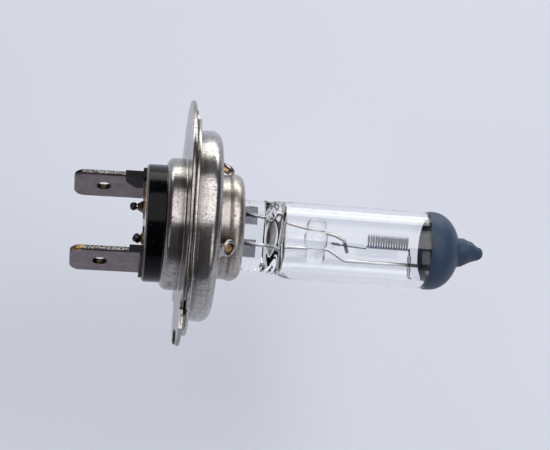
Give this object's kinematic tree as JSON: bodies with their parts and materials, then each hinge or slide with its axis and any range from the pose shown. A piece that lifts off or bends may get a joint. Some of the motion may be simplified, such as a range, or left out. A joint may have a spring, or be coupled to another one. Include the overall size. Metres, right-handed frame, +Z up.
{
  "type": "headlight bulb",
  "caption": "Halogen headlight bulb: coated quartz capsule and filament on a round focusing cap with flat blade contacts.",
  "frame": {"origin": "on the cap's axis, in the plane of the ring flange's front face, which rests on the lamp", "axes": "+X along the cap's axis towards the glass tip, blades towards -X; +Z up, along the blades' width"},
  "size_m": [0.0567, 0.034, 0.034],
  "materials": {
    "cup_steel": "nickel-plated pressed steel, fine turning marks",
    "ring_steel": "nickel-plated pressed steel, satin",
    "sleeve_steel": "drawn steel, satin",
    "clip_steel": "spring steel, bright",
    "insulator_black": "moulded, glossy near-black",
    "blade_metal": "dull grey-brown plate, scratched edges",
    "weld_metal": "heat-tinted weld metal",
    "bead_metal": "dark melted bead",
    "quartz": "clear fused quartz",
    "cap_lacquer": "slate-blue heat-proof lacquer, satin",
    "molybdenum": "bright foil",
    "lead_wire": "bright wire",
    "tungsten": "drawn tungsten wire"
  },
  "bodies": {
    "root": {"base_cup": "cup_steel", "cap_ring": "ring_steel", "flange_weld_spots": "weld_metal", "burner_sleeve": "sleeve_steel", "pinch_clamp": "clip_steel", "sleeve_weld_nuggets": "weld_metal", "insulator": "insulator_black", "upper_blade": "blade_metal", "lower_blade": "blade_metal", "lead_weld_beads": "bead_metal", "upper_outer_lead": "lead_wire", "lower_outer_lead": "lead_wire", "quartz_envelope": "quartz", "front_coating": "cap_lacquer", "upper_foil": "molybdenum", "lower_foil": "molybdenum", "upper_inner_lead": "lead_wire", "lower_inner_lead": "lead_wire", "quartz_bridge": "quartz", "filament_coil": "tungsten", "filament_leg_sleeve": "lead_wire"}
  },
  "joints": []
}
